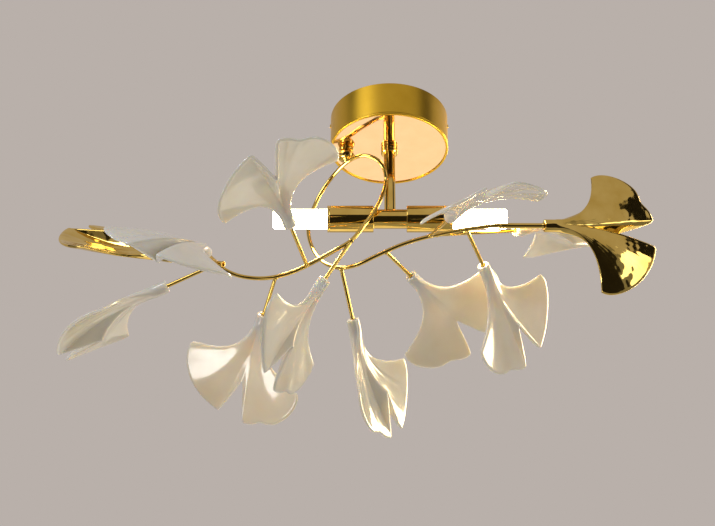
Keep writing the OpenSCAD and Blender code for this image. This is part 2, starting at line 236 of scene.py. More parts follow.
def rod(path: Array, radius: Array, sides: int = 20) -> Surface:
    """Round rod along a path: a circle carried square to the path and turned as little as possible.

    Args:
        path: Array (n, 3) of points on the rod's centre line.
        radius: Array (n,) of the radius at each point. A radius of zero closes an end.
        sides: Number of steps round the rod.

    Returns:
        The surface.
    """
    ahead = unit(np.gradient(path, axis=0))
    level = lambda side, tangent: unit(side - (side @ tangent) * tangent)
    start = level(np.array([0.0, 0.0, 1.0]), ahead[0])
    first = np.array(list(itertools.accumulate(ahead[1:], level, initial=start)))
    second = np.cross(ahead, first)
    angle = np.linspace(0, 2 * np.pi, sides, endpoint=False)[None, :, None]
    ring = np.cos(angle) * first[:, None] + np.sin(angle) * second[:, None]
    points = path[:, None] + radius[:, None, None] * ring
    return Surface(points.reshape(-1, 3), grid_quads(len(path), sides))


def round_ended(path: Array, radius: float, steps: int = 5) -> tuple[Array, Array]:
    """Path and radii of a rod whose two ends are half balls.

    Args:
        path: Array (n, 3) of the centre line.
        radius: Radius of the rod.
        steps: Number of rings in each end.

    Returns:
        The longer path and its radii.
    """
    lift = np.linspace(0, np.pi / 2, steps + 1)[1:]
    start, end = unit(path[1] - path[0]), unit(path[-1] - path[-2])
    head = path[0] - start * (radius * np.sin(lift[::-1]) - radius)[:, None]
    tail = path[-1] + end * (radius * np.sin(lift) - radius)[:, None]
    from_ends = np.linalg.norm(path[:, None] - path[[0, -1]], axis=2)
    inner = path[(from_ends > radius).all(axis=1)]
    radii = np.concatenate([radius * np.cos(lift[::-1]), np.full(len(inner), radius), radius * np.cos(lift)])
    return np.vstack([head, inner, tail]), radii


# Finishes


class Recipe:
    """A material under construction, with short calls for its nodes."""

    def __init__(self, name: str) -> None:
        """Start a material with one Principled shader, wired to the output."""
        self.material = bpy.data.materials.new(name)
        self.material.use_nodes = True
        self.tree = self.material.node_tree
        self.shader = self.tree.nodes["Principled BSDF"]
        self.place = self.add("ShaderNodeTexCoord").outputs["Object"]

    def add(self, kind: str, inputs: dict | None = None, **settings: object) -> bpy.types.Node:
        """Add a node.

        Args:
            kind: Blender's name for the node's type.
            inputs: Values or sockets for its inputs, by name or number.
            settings: Properties of the node itself.

        Returns:
            The new node.
        """
        node = self.tree.nodes.new(kind)
        for key, value in settings.items():
            setattr(node, key, value)
        for key, value in (inputs or {}).items():
            self.feed(node.inputs[key], value)
        return node

    def feed(self, socket: Socket, value: object) -> None:
        """Wire a socket into another, or set its value."""
        if isinstance(value, Socket):
            self.tree.links.new(value, socket)
        else:
            socket.default_value = value

    def surface(self, **values: object) -> None:
        """Set the Principled shader's inputs, with underscores for spaces."""
        for key, value in values.items():
            if isinstance(value, tuple) and len(value) == 3 and key.endswith(("Color", "Tint")):
                value = (*value, 1.0)
            self.feed(self.shader.inputs[key.replace("_", " ")], value)

    def noise(self, scale: float, detail: float = 3.0, stretch: Point = (1, 1, 1)) -> Socket:
        """Noise in the object's own coordinates.

        Args:
            scale: Number of features per metre.
            detail: Octaves of finer noise.
            stretch: Factor on the scale along each axis.

        Returns:
            Socket with the noise, from 0 to 1.
        """
        mapping = self.add("ShaderNodeMapping", {"Vector": self.place, "Scale": stretch})
        inputs = {"Vector": mapping.outputs[0], "Scale": scale, "Detail": detail}
        return self.add("ShaderNodeTexNoise", inputs).outputs[0]

    def spread(self, value: Socket, low: float, high: float, ends: Pair = (0.3, 0.7)) -> Socket:
        """Map a value onto a new range.

        Args:
            value: Socket with the value.
            low: Result at the first end.
            high: Result at the second end.
            ends: The two ends of the value's own range.

        Returns:
            Socket with the result, held inside the new range.
        """
        inputs = {"Value": value, "From Min": ends[0], "From Max": ends[1], "To Min": low, "To Max": high}
        return self.add("ShaderNodeMapRange", inputs).outputs[0]

    def mixed(self, value: Socket, first: Colour, second: Colour, ends: Pair = (0.3, 0.7)) -> Socket:
        """Blend two colours.

        Args:
            value: Socket with the value that chooses between them.
            first: Colour at the first end of the value's range.
            second: Colour at the second end.
            ends: The two ends.

        Returns:
            Socket with the colour.
        """
        inputs = {0: self.spread(value, 0, 1, ends), 6: (*first, 1.0), 7: (*second, 1.0)}
        return self.add("ShaderNodeMix", inputs, data_type="RGBA").outputs[2]

    def relief(self, *layers: tuple[Socket, float]) -> None:
        """Stack bumps and wire the result to the shader's normal.

        Args:
            layers: Pairs of a height socket and the height in metres that 1 stands for.
        """
        below: Socket | None = None
        for height, depth in layers:
            inputs = {"Height": height, "Distance": depth, "Strength": 1.0}
            if below:
                inputs["Normal"] = below
            below = self.add("ShaderNodeBump", inputs).outputs[0]
        self.tree.links.new(below, self.shader.inputs["Normal"])


@dataclass(frozen=True)
class Metal:
    """Metal whose polish has faint smears, and whose surface has waves and a fine grain.

    Args:
        name: Name of the material.
        colour: Colour of the metal.
        worn: Colour that the metal turns to in patches.
        polish: Roughness in the clean and in the smeared places.
        wave: Waves per metre, and their height in metres.
        grain: Scratches per metre, and their depth in metres.
        stretch: How the grain is stretched along the three axes.
    """

    name: str
    colour: Colour
    worn: Colour
    polish: Pair = (0.05, 0.11)
    wave: Pair = (30.0, 0.00004)
    grain: Pair = (900.0, 0.000002)
    stretch: Point = (1, 1, 1)

    def build(self) -> bpy.types.Material:
        """Make the material."""
        recipe = Recipe(self.name)
        smear = recipe.noise(55, 4)
        recipe.surface(
            Base_Color=recipe.mixed(smear, self.colour, self.worn),
            Metallic=1.0,
            Roughness=recipe.spread(smear, *self.polish),
        )
        recipe.relief(
            (recipe.noise(self.wave[0], 1), self.wave[1]),
            (recipe.noise(self.grain[0], 2, self.stretch), self.grain[1]),
        )
        return recipe.material


@dataclass(frozen=True)
class Porcelain:
    """Glossy cream porcelain that lets warm light through, with a soft ripple in its glaze.

    Args:
        name: Name of the material.
        body: Colour of the thick parts.
        pooled: Colour where the glaze has pooled.
        glow: How far red, green and blue light travel inside, as shares of the depth.
        depth: Depth of that travel in metres.
    """

    name: str = "cream_porcelain"
    body: Colour = (0.85, 0.82, 0.75)
    pooled: Colour = (0.79, 0.74, 0.65)
    glow: Colour = (1.0, 0.8, 0.5)
    depth: float = 0.009

    def build(self) -> bpy.types.Material:
        """Make the material."""
        recipe = Recipe(self.name)
        recipe.surface(
            Base_Color=recipe.mixed(recipe.noise(28, 3), self.body, self.pooled),
            Roughness=recipe.spread(recipe.noise(70, 2), 0.1, 0.18),
            Subsurface_Weight=0.8,
            Subsurface_Radius=self.glow,
            Subsurface_Scale=self.depth,
            Coat_Weight=1.0,
            Coat_Roughness=0.05,
        )
        recipe.relief((recipe.noise(45, 2), 0.00025), (recipe.noise(400, 2), 0.00001))
        return recipe.material


@dataclass(frozen=True)
class GiltLeaf:
    """Mirror gold over a moulded leaf: hand-sized waves and fine veins that fan out with the blade.

    Args:
        name: Name of the material.
        colour: Colour of the gold.
        deep: Colour of the gold in darker patches chosen by noise.
        veins: Number of fine veins in the half blade.
    """

    name: str = "gilt_leaf"
    colour: Colour = (0.84, 0.62, 0.19)
    deep: Colour = (0.68, 0.46, 0.1)
    veins: float = 26.0

    def build(self) -> bpy.types.Material:
        """Make the material."""
        recipe = Recipe(self.name)
        marks = recipe.add("ShaderNodeAttribute", attribute_name="blade").outputs["Vector"]
        across = recipe.add("ShaderNodeSeparateXYZ", {0: marks})
        turns = recipe.add("ShaderNodeMath", {0: across.outputs[0], 1: self.veins * np.pi}, operation="MULTIPLY")
        ridges = recipe.add("ShaderNodeMath", {0: turns.outputs[0]}, operation="SINE").outputs[0]
        faded = recipe.add("ShaderNodeMath", {0: ridges, 1: across.outputs[1]}, operation="MULTIPLY").outputs[0]
        patch = recipe.noise(40, 3)
        recipe.surface(
            Base_Color=recipe.mixed(patch, self.colour, self.deep),
            Metallic=1.0,
            Roughness=recipe.spread(patch, 0.04, 0.1),
        )
        recipe.relief((recipe.noise(32, 2), 0.0026), (faded, 0.00003), (recipe.noise(250, 2), 0.00002))
        return recipe.material


@dataclass(frozen=True)
class LitSleeve:
    """Frosted sleeve of a lit bulb.

    Args:
        name: Name of the material.
        colour: Colour of the frosted wall.
        light: Colour of the light.
        edge: Colour of the light at the frosting's crystal edges.
        strength: How bright it is.
    """

    name: str = "lit_frosted_sleeve"
    colour: Colour = (0.95, 0.93, 0.88)
    light: Colour = (1.0, 0.8, 0.5)
    edge: Colour = (1.0, 0.74, 0.42)
    strength: float = 45.0

    def build(self) -> bpy.types.Material:
        """Make the material."""
        recipe = Recipe(self.name)
        crystals = recipe.add("ShaderNodeTexVoronoi", {"Vector": recipe.place, "Scale": 320.0}).outputs["Distance"]
        recipe.surface(
            Base_Color=self.colour,
            Roughness=recipe.spread(crystals, 0.25, 0.45),
            Emission_Color=recipe.mixed(crystals, self.light, self.edge, (0, 0.9)),
            Emission_Strength=self.strength,
        )
        recipe.relief((crystals, 0.0004))
        return recipe.material


@dataclass(frozen=True)
class Plain:
    """Ceramic, plastic or rubber: two close colours in clouds, and a fine tooth.

    Args:
        name: Name of the material.
        colour: Main colour.
        cloud: Colour of the clouds.
        gloss: Roughness, smooth places first.
        tooth: Pits per metre and their depth in metres.
    """

    name: str
    colour: Colour
    cloud: Colour
    gloss: Pair = (0.35, 0.5)
    tooth: Pair = (1500.0, 0.00002)

    def build(self) -> bpy.types.Material:
        """Make the material."""
        recipe = Recipe(self.name)
        cloud = recipe.noise(90, 4)
        recipe.surface(
            Base_Color=recipe.mixed(cloud, self.colour, self.cloud),
            Roughness=recipe.spread(cloud, *self.gloss),
        )
        recipe.relief((recipe.noise(self.tooth[0], 2), self.tooth[1]))
        return recipe.material


FINISHES = {
    "satin_gold": Metal("satin_gold_lacquer", (0.76, 0.48, 0.045), (0.7, 0.43, 0.035), (0.32, 0.38),
                        (12.0, 0.00003), (260.0, 0.000006), (1, 1, 12)),
    "polished_gold": Metal("mirror_rose_gold", (0.98, 0.7, 0.4), (0.95, 0.66, 0.36), (0.05, 0.09),
                           (10.0, 0.00002), (1400.0, 0.000001)),
    "plated_gold": Metal("bright_gold_plating", (0.86, 0.62, 0.17), (0.76, 0.52, 0.12), (0.06, 0.11)),
    "leaf_gold": GiltLeaf(),
    "porcelain": Porcelain(),
    "frosted_glass": LitSleeve(),
    "led_stick": Plain("phosphor_stick", (0.9, 0.72, 0.3), (0.84, 0.64, 0.24)),
    "white_ceramic": Plain("unglazed_ceramic", (0.8, 0.78, 0.73), (0.74, 0.72, 0.67), (0.5, 0.65)),
    "white_plastic": Plain("terminal_plastic", (0.78, 0.76, 0.7), (0.73, 0.71, 0.65), (0.35, 0.45)),
    "wire_cover": Plain("wire_insulation", (0.12, 0.12, 0.125), (0.09, 0.09, 0.095), (0.4, 0.5)),
    "zinc_steel": Metal("zinc_plated_steel", (0.6, 0.61, 0.63), (0.5, 0.51, 0.54), (0.24, 0.4),
                        (60.0, 0.00002), (700.0, 0.00001)),
    "raw_brass": Metal("raw_brass", (0.72, 0.52, 0.24), (0.6, 0.42, 0.18), (0.2, 0.32),
                       (60.0, 0.00002), (900.0, 0.000006)),
}


class Workshop:
    """Makes the finishes once, turns surfaces into objects and hands them to the frame."""

    def __init__(self, nodes: dict[str, bpy.types.Object], record: dict) -> None:
        """Keep the frame's nodes and read each node's material slot and body from the record."""
        self.nodes = nodes
        self.slots = {entry["node"]: entry["material_slot"] for entry in record["subparts"]}
        self.bodies = {node: body for body, members in record["behaviour"]["bodies"].items() for node in members}
        self.finishes = {slot: finish.build() for slot, finish in FINISHES.items()}

    def piece(self, node: str, surface: Surface) -> None:
        """Make the object that stands for a node.

        Args:
            node: Node that the object replaces, whose body, slot and finish it takes.
            surface: Its surface in millimetres.
        """
        mesh = bpy.data.meshes.new(node + "_look")
        mesh.from_pydata((surface.points * METRES).tolist(), [], surface.quads.tolist())
        if surface.marks is not None:
            marks = mesh.attributes.new("blade", "FLOAT_VECTOR", "POINT")
            marks.data.foreach_set("vector", surface.marks.astype(np.float32).ravel())
        shape = bmesh.new()
        shape.from_mesh(mesh)
        bmesh.ops.remove_doubles(shape, verts=shape.verts, dist=1e-7)
        bmesh.ops.dissolve_degenerate(shape, edges=shape.edges, dist=1e-8)
        bmesh.ops.recalc_face_normals(shape, faces=shape.faces)
        shape.to_mesh(mesh)
        shape.free()
        mesh.polygons.foreach_set("use_smooth", np.ones(len(mesh.polygons), bool))
        mesh.materials.append(self.finishes[self.slots[node]])
        thing = bpy.data.objects.new(node + "_look", mesh)
        bpy.context.scene.collection.objects.link(thing)
        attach(thing, self.bodies[node])
        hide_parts(node)
        LOG.info("%s: %d faces", node, len(mesh.polygons))

    def dress_rest(self) -> None:
        """Give every node of the frame its finish, also those that a piece stands for."""
        for name, node in self.nodes.items():
            node.data.materials.clear()
            node.data.materials.append(self.finishes[self.slots[name]])


# Sub-assemblies


@dataclass
class Canopy:
    """The drum at the ceiling, and the mirror plate in its mouth."""

    diameter: float = 120.0
    height: float = 39.0
    wall: float = 1.0
    lip: float = 2.4
    plate: float = 1.5
    stem: float = 11.5

    def shell(self) -> Surface:
        """Drum with a shallow groove above the rolled rim of its mouth, turned from one closed profile."""
        r, h = self.diameter / 2, self.height
        corners = [
            (r - self.wall, 0), (r, 0), (r, 2.6 - h), (r - 0.35, 2.2 - h), (r, 1.8 - h), (r, -h), (r - self.lip, -h),
            (r - self.lip, self.wall - h), (r - self.wall, self.wall - h),
        ]
        return turned(rounded(corners, [0.2, 0.3, 0.15, 0.15, 0.15, 0.75, 0.3, 0.2, 0.2]), sides=192)

    def mirror(self) -> Surface:
        """Flat disc with a hole for the stem and eased edges."""
        r, z = self.diameter / 2 - self.wall, self.wall - self.height
        corners = [(self.stem / 2, z), (r, z), (r, z + self.plate), (self.stem / 2, z + self.plate)]
        return turned(rounded(corners, 0.2), sides=192)

    def build(self, shop: Workshop) -> None:
        """Make the two pieces."""
        shop.piece("canopy_shell", self.shell())
        shop.piece("canopy_plate", self.mirror())


@dataclass
class Stem:
    """The vertical tube and the collar under the plate."""

    diameter: float = 11.5
    bore: float = 7.5
    top: float = -25.0
    bottom: float = -119.75
    collar_d: float = 17.0
    collar_h: float = 7.0
    plate_z: float = -38.0

    def build(self, shop: Workshop) -> None:
        """Make the tube and the collar, which has a groove round its middle and a fillet below."""
        r, b = self.diameter / 2, self.bore / 2
        tube = [(b, self.bottom), (r, self.bottom), (r, self.top), (b, self.top)]
        shop.piece("stem", turned(rounded(tube, 0.4)))
        c, z, mid = self.collar_d / 2, self.plate_z, self.plate_z - self.collar_h / 2
        ring = [
            (r, z), (c, z), (c, mid + 0.5), (c - 0.5, mid), (c, mid - 0.5), (c, z - self.collar_h + 1),
            (c - 1.2, z - self.collar_h), (r, z - self.collar_h),
        ]
        shop.piece("stem_collar", turned(rounded(ring, [0.1, 0.6, 0.2, 0.2, 0.2, 0.4, 0.4, 0.1])))


@dataclass
class Bulb:
    """A capsule bulb: frosted sleeve, ceramic base, light stick and two pins."""

    side: Side
    drop: float = 125.0
    start: float = 44.5
    out: float = 54.0
    inside: float = 18.0
    diameter: float = 19.5
    wall: float = 1.5
    base_l: float = 12.0
    grip: float = 8.0
    stick_d: float = 9.0
    stick_short: float = 4.0
    pin_d: float = 2.0
    pin_l: float = 11.0
    pin_pitch: float = 9.0
    flutes: int = 18
    flute_depth: float = 0.1

    def place(self, x: float, y: float = 0.0) -> Place:
        """Frame on the bulb's axis at a distance from the light's middle, pointing outwards."""
        return Place.along((self.side.value * x, y, -self.drop), (self.side.value, 0, 0))

    def sleeve(self) -> Surface:
        """Thin cup with a rounded end, whose outer wall has shallow flutes that fade out at both its ends."""
        length = self.out + self.inside - self.grip
        r, b = self.diameter / 2, self.diameter / 2 - self.wall
        inside = [(0, length - self.wall), (b, length - self.wall), (b, 0), (r, 0), (r, 1)]
        inner = rounded(inside, [0, 0.8, 0.2, 0.3, 0], False)
        height = np.linspace(1.0, length - 4.0, 40)
        wall = np.stack([np.full(len(height), r), height], -1)
        outer = rounded([(r, length - 3.5), (r, length), (0, length)], [0, 1.6, 0], False)
        surface = turned(np.vstack([inner, wall, outer]), closed=False, sides=144)
        x, y, z = surface.points.T
        angle, radius = np.arctan2(y, x), np.hypot(x, y)
        fade = np.clip(z / 6, 0, 1) * np.clip((length - 2 - z) / 6, 0, 1) * (radius > r - 0.01)
        flute = 1 - fade * self.flute_depth * (1 + np.cos(self.flutes * angle)) / np.maximum(radius, 1)
        return Surface(surface.points * np.stack([flute, flute, np.ones(len(z))], -1), surface.quads)

    def build(self, shop: Workshop) -> None:
        """Make the bulb's four pieces."""
        word = self.side.word
        shop.piece("bulb_" + word, self.sleeve().placed(self.place(self.start + self.grip)))
        b = self.diameter / 2 - self.wall
        base = rounded([(0, 0), (b, 0), (b, self.base_l), (0, self.base_l)], [0, 1.0, 0.3, 0], False)
        shop.piece("bulb_base_" + word, turned(base, False).placed(self.place(self.start)))
        r = self.stick_d / 2
        length = self.inside + self.out - self.base_l - self.wall - self.stick_short
        stick = rounded([(0, 0), (r, 0), (r, length), (0, length)], [0, 0.4, 2.5, 0], False)
        shop.piece("bulb_core_" + word, turned(stick, False, 48).placed(self.place(self.start + self.base_l)))
        r = self.pin_d / 2
        pin = turned(rounded([(0, 0), (r, 0), (r, self.pin_l), (0, self.pin_l)], [0, 0.6, 0.1, 0], False), False, 32)
        pins = [pin.placed(self.place(self.start - self.pin_l, end * self.pin_pitch / 2)) for end in (-1, 1)]
        shop.piece("bulb_pins_" + word, Surface.joined(pins))


@dataclass
class LampBar:
    """The cross tube and the two cups that hold the bulbs."""

    drop: float = 125.0
    diameter: float = 19.5
    wall: float = 1.5
    gap: float = 33.0
    inset: float = 6.0
    cup_d: float = 27.0
    cup_l: float = 46.0
    cup_wall: float = 1.2
    floor: float = 2.0

    def cup(self) -> Surface:
        """Cup with a floor that grips the tube, and a rolled rim with a fine groove behind it."""
        r, b, c = self.cup_d / 2, self.cup_d / 2 - self.cup_wall, self.diameter / 2
        corners = [
            (c, 0), (r, 0), (r, self.cup_l - 2.4), (r - 0.3, self.cup_l - 2.0), (r, self.cup_l - 1.6),
            (r, self.cup_l), (b, self.cup_l), (b, self.floor), (c, self.floor),
        ]
        return turned(rounded(corners, [0.1, 0.8, 0.15, 0.15, 0.15, 0.4, 0.4, 0.4, 0.1]))

    def build(self, shop: Workshop) -> None:
        """Make the tube and the cups."""
        half, r = self.gap / 2 + self.inset, self.diameter / 2
        tube = turned(rounded([(r - self.wall, -half), (r, -half), (r, half), (r - self.wall, half)], 0.4))
        shop.piece("lamp_bar", tube.placed(Place.along((0, 0, -self.drop), (1, 0, 0))))
        for side in Side:
            place = Place.along((side.value * self.gap / 2, 0, -self.drop), (side.value, 0, 0))
            shop.piece("cup_" + side.word, self.cup().placed(place))


@dataclass(frozen=True)
class Twig:
    """A straight twig: where it leaves the branch, its direction as azimuth and elevation, and its length."""

    place: float
    azimuth: float
    elevation: float
    length: float

    @property
    def direction(self) -> Array:
        """Unit vector along the twig."""
        turn, lift = np.radians([self.azimuth, self.elevation])
        return np.array([np.cos(lift) * np.cos(turn), np.cos(lift) * np.sin(turn), np.sin(lift)])


@dataclass
class Branch:
    """The bent rod with its post, end sockets and twigs. The rod's knots are measured from the lamp bar's middle."""

    drop: float = 125.0
    rod_d: float = 4.0
    twig_d: float = 3.6
    socket_d: float = 6.0
    grip: float = 7.0
    left_socket: float = 15.0
    end_gap: float = 0.4
    bore_l: float = 16.0
    twig_short: float = 2.0
    fillet_l: float = 3.6
    fillet_h: float = 0.9
    plate_z: float = -38.0
    post_knot: int = 15
    knob_r: float = 8.5
    knob_share: float = 0.28
    knob_swing: float = 62.0
    band_swing: float = 7.45
    band_h: float = 0.25
    knots: list[tuple[float, float, float]] = field(default_factory=lambda: [
        (-167, -35, -76), (-157, -33, -84), (-141, -31, -89), (-120, -29, -89), (-98, -27, -82),
        (-77, -26, -70), (-54, -25, -54), (-38, -25, -42), (-26, -23, -23), (-15, -18, -1),
        (-8, -12, 20), (-4, -6.6, 42), (-6, -12, 54), (-14, -17, 62), (-28, -13, 69),
        (-44, 2, 71), (-60, 19, 63), (-74, 29, 43), (-82, 30, 13), (-79, 22, -16),
        (-68, 10, -43), (-52, -3, -60), (-34, -12, -63), (-14, -18, -56), (9, -23, -47),
        (33, -26, -40), (63, -27, -33), (98, -33, -31), (112, -32, -30),
    ])

    @property
    def line(self) -> Array:
        """The rod's knots, measured from the ceiling."""
        return np.array(self.knots, float) - [0, 0, self.drop]

    def base(self, twig: Twig) -> Array:
        """Point on the rod's centre line where a twig starts."""
        return curve_at(self.line, np.array([twig.place]))[0]

    def main_rod(self) -> Surface:
        """The rod along its curve, with half-ball ends."""
        path = curve_at(self.line, np.linspace(0, len(self.knots) - 1, 12 * (len(self.knots) - 1) + 1))
        return rod(*round_ended(path, self.rod_d / 2), sides=24)

    def post(self) -> Surface:
        """Turned post: a foot on the plate, a waist, a round knob with a raised band, and a neck on the rod."""
        h = self.plate_z - self.line[self.post_knot][2]
        swing = np.radians(np.linspace(-self.knob_swing, self.knob_swing, 21))
        ball = self.knob_share * h
        band = (np.abs(swing) < np.radians(self.band_swing)) * self.band_h
        knob = np.stack([self.knob_r - ball * (1 - np.cos(swing)) + band, h / 2 + ball * np.sin(swing)], -1)
        neck = np.array([(0.0, 0.0), (2.6, 0.0), (3.0, 0.6), (3.0, 2.4), (3.3, 3.0), (4.2, 3.4)])
        flange = [(4.2, h - 3.4), (3.6, h - 2.9), (7.5, h - 1.5), (7.5, h), (0, h)]
        foot = rounded(flange, [0.1, 0.3, 0.5, 0.2, 0], False)
        return turned(np.vstack([neck, knob, foot]), closed=False)

    def twig(self, twig: Twig) -> Surface:
        """Twig that flares into a braze fillet at the rod and ends in the leaf's bore with an eased tip."""
        r, length = self.twig_d / 2, twig.length + self.bore_l - self.twig_short
        flare = np.linspace(0, 1, 12)
        fillet = np.stack([r + self.fillet_h * (1 - flare) ** 2.5, 1.2 + self.fillet_l * flare], -1)
        tip = [(r, length - 2.0), (r, length - 0.6), (r - 0.15, length - 0.2), (r - 0.6, length), (0, length)]
        profile = np.vstack([[(0.0, 0.8), (r + 0.7, 0.8)], fillet, tip])
        return turned(profile, False, 32).placed(Place.along(self.base(twig), twig.direction))

    def socket(self, twig: Twig, length: float) -> Surface:
        """Sleeve over the rod's end and a twig, with a bead at each end."""
        r, b = self.socket_d / 2, self.rod_d / 2
        corners = [
            (b, 0), (r, 0), (r, 1.4), (r - 0.35, 1.8), (r - 0.35, length - 1.8), (r, length - 1.4), (r, length),
            (b, length),
        ]
        origin = self.base(twig) - self.grip * twig.direction
        sleeve = turned(rounded(corners, [0.1, 0.3, 0.2, 0.2, 0.2, 0.2, 0.3, 0.1]), sides=48)
        return sleeve.placed(Place.along(origin, twig.direction))

    def build(self, shop: Workshop, leaves: list[Leaf]) -> None:
        """Make the rod, the post, the sockets and the twigs."""
        shop.piece("branch", self.main_rod())
        post_place = Place(self.line[self.post_knot], np.eye(3))
        shop.piece("branch_post", self.post().placed(post_place))
        twigs = {leaf.number: leaf.twig for leaf in leaves}
        left, right = twigs[GOLD_LEFT], twigs[GOLD_RIGHT]
        shop.piece("socket_left", self.socket(left, self.left_socket))
        shop.piece("socket_right", self.socket(right, right.length + self.grip - self.end_gap))
        for number, twig in twigs.items():
            shop.piece(f"twig_{number}", self.twig(twig))


@dataclass
class Leaf:
    """A ginkgo leaf: a hollow stalk that flattens and opens into a fan of two lobes.

    The blade is a grid. One parameter, from -1 to 1, goes from vein to vein across the blade. The other, from
    0 to 1, goes out along a vein, which leaves the stalk straight and bends outwards as a parabola.
    """

    number: int
    twig: Twig
    roll: float
    cup: float
    droop: float
    twist: float
    nick_side: int
    grooved: int
    stalk_d: float = 12.6
    stalk_l: float = 11.0
    bore: float = 5.7
    bore_l: float = 16.0
    thickness: float = 3.4
    radius: float = 69.7
    shoulder: float = 0.1
    corner: float = 0.04
    fan_x: float = 52.0
    fan_angle: float = 83.0
    notch_depth: float = 43.0
    notch_width: float = 22.0
    notch_round: float = 5.0
    notch_shift: float = 2.2
    lip_power: float = 10.0
    nick_depth: float = 4.0
    nick_at: float = 0.36
    nick_width: float = 0.09
    vein_run: float = 42.0
    throat: float = 4.0
    lobe_swell: float = 3.0
    half_span: float = 60.0
    rim_from: float = 0.975
    groove_at: Pair = (0.34, 0.66)
    groove_width: float = 0.035
    groove_depth: float = 0.55

    def across(self) -> Array:
        """Places of the veins: the sine of even angles, with more veins at the notch."""
        sine = np.sin(np.linspace(-np.pi / 2, np.pi / 2, 91))
        notch = 0.2 * np.linspace(-1, 1, 61)
        merged = np.sort(np.concatenate([sine, notch]))
        return merged[np.concatenate([[True], np.diff(merged) > 0.002])]

    def outward(self) -> Array:
        """Places along a vein: even steps, then ever finer ones for the round edge."""
        even = np.linspace(0, self.rim_from - 0.003, 70)
        fine = self.rim_from + (1 - self.rim_from) * np.sin(np.linspace(0, np.pi / 2, 10))
        return np.concatenate([even, fine])

    def edge(self, s: Array) -> Array:
        """Distance of the blade's outer edge from the fan's centre.

        The radius shrinks gently towards the shoulders and sharply at the two corners of the fan.
        The notch is a wedge whose inner end is rounded by the root of the angle's square plus a constant. Where
        it meets the outer edge, a high power mean rounds the two lips. The nick is a bell.
        """
        size = np.abs(s)
        outline = self.radius * (1 - self.shoulder * size**4 - self.corner * size**18)
        slope = self.notch_width / self.notch_depth / 2
        soft = np.radians(np.sqrt((self.fan_angle * size) ** 2 + self.notch_round) - self.notch_shift)
        room = slope * np.cos(soft) - np.sin(soft)
        wedge = np.where(room > 0.02, (self.radius - self.notch_depth) * slope / np.maximum(room, 0.02), 1000.0)
        nick = self.nick_depth * np.exp(-(((s - self.nick_side * self.nick_at) / self.nick_width) ** 2))
        return outline / (1 + (outline / wedge) ** self.lip_power) ** (1 / self.lip_power) - nick

    def middle(self, s: Array, v: Array) -> Array:
        """Middle surface of the blade.

        A vein is the parabola from the stalk's end through a point straight ahead of it to the outer edge. Its
        height is the sum of a twist, a cup across the blade, a droop outwards, a swell in each lobe and the
        throat near the stalk.

        Args:
            s: Place across the blade.
            v: Place along the vein.

        Returns:
            Points in the leaf's own frame, with the stalk along the first axis.
        """
        reach, angle, near = self.edge(s), np.radians(self.fan_angle) * s, (1 - v) ** 2
        mid = 2 * v * (1 - v)
        x = near * self.stalk_l + mid * (self.stalk_l + self.vein_run) + v**2 * (self.fan_x + reach * np.cos(angle))
        y = (near + mid) * self.stalk_d / 2 * s + v**2 * reach * np.sin(angle)
        z = (
            self.twist * (y / self.half_span) * v - self.cup * (y / self.half_span) ** 2 - self.droop * v**2.5
            + self.lobe_swell * np.sin(np.pi * s) ** 2 * v + self.throat * s**2 * 4 * v * (1 - v) ** 2
        )
        return np.stack([x, y, z], -1)

    def half_thickness(self, s: Array, v: Array) -> Array:
        """Half the blade's thickness: the stalk's circle that flattens to a sheet with round edges."""
        flare, power = np.clip(1 - 2 * v, 0, 1), 2 + 20 * np.clip(2 * v, 0, 1)
        thick = self.thickness / 2 + (self.stalk_d - self.thickness) / 2 * flare**2
        rim = np.sqrt(np.clip(1 - (np.clip(v - self.rim_from, 0, 1) / (1 - self.rim_from)) ** 2, 0, 1))
        return thick * np.sqrt(np.clip(1 - np.abs(s) ** power, 0, 1)) * rim

    def grooves(self, s: Array, v: Array) -> Array:
        """Depth of the soft vein grooves: two bells across each lobe that fade at both ends of the vein."""
        fade = np.clip((v - 0.25) / 0.3, 0, 1) * np.clip((1 - v) / 0.12, 0, 1)
        bells = sum(np.exp(-(((np.abs(s) - at) / self.groove_width) ** 2)) for at in self.groove_at)
        return self.groove_depth * bells * fade

    def blade(self) -> tuple[Array, Array]:
        """The blade as loops of points round it, from the stalk's end to the outer edge.

        Returns:
            Points (rows, columns, 3), and the vein, reach and side of each point.
        """
        s, v = self.across(), self.outward()
        across, out = np.meshgrid(s, v)
        sheet = self.middle(across, out)
        normal = unit(np.cross(np.gradient(sheet, s, axis=1), np.gradient(sheet, v, axis=0)))
        normal *= np.sign(normal[..., 2:].mean())
        blend = np.clip(out[..., None] / 0.08, 0, 1)
        normal = unit(blend * normal + (1 - blend) * np.array([0.0, 0.0, 1.0]))
        half = self.half_thickness(across, out)
        cut = self.grooves(across, out)
        top = sheet + normal * (half - (self.grooved > 0) * cut)[..., None]
        under = sheet - normal * (half - (self.grooved < 0) * cut)[..., None]
        loops = np.concatenate([top, under[:, -2:0:-1]], 1)
        marks = np.stack([across, out, np.ones_like(out)], -1)
        return loops, np.concatenate([marks, (marks * [1, 1, -1])[:, -2:0:-1]], 1)

    def surface(self) -> Surface:
        """The whole leaf: bore, mouth, stalk and blade, as one closed grid of loops."""
        loops, marks = self.blade()
        circle = loops[0, :, 1:] / (self.stalk_d / 2)
        r, b = self.stalk_d / 2, self.bore / 2
        mouth = rounded([(0, self.bore_l), (b, self.bore_l), (b, 0), (r, 0), (r, 5)], [0, 0.3, 0.6, 1.1, 0], False)
        mouth = np.vstack([mouth, [(r, x) for x in (7, 9)]])
        ahead = np.broadcast_to(mouth[:, 1, None, None], (len(mouth), len(circle), 1))
        rings = np.concatenate([ahead, mouth[:, 0, None, None] * circle], -1)
        points = np.concatenate([rings, loops])
        values = np.concatenate([np.zeros_like(rings), marks])
        axes = self.axes()
        return Surface(points.reshape(-1, 3) @ axes, grid_quads(len(points), points.shape[1]), values.reshape(-1, 3))

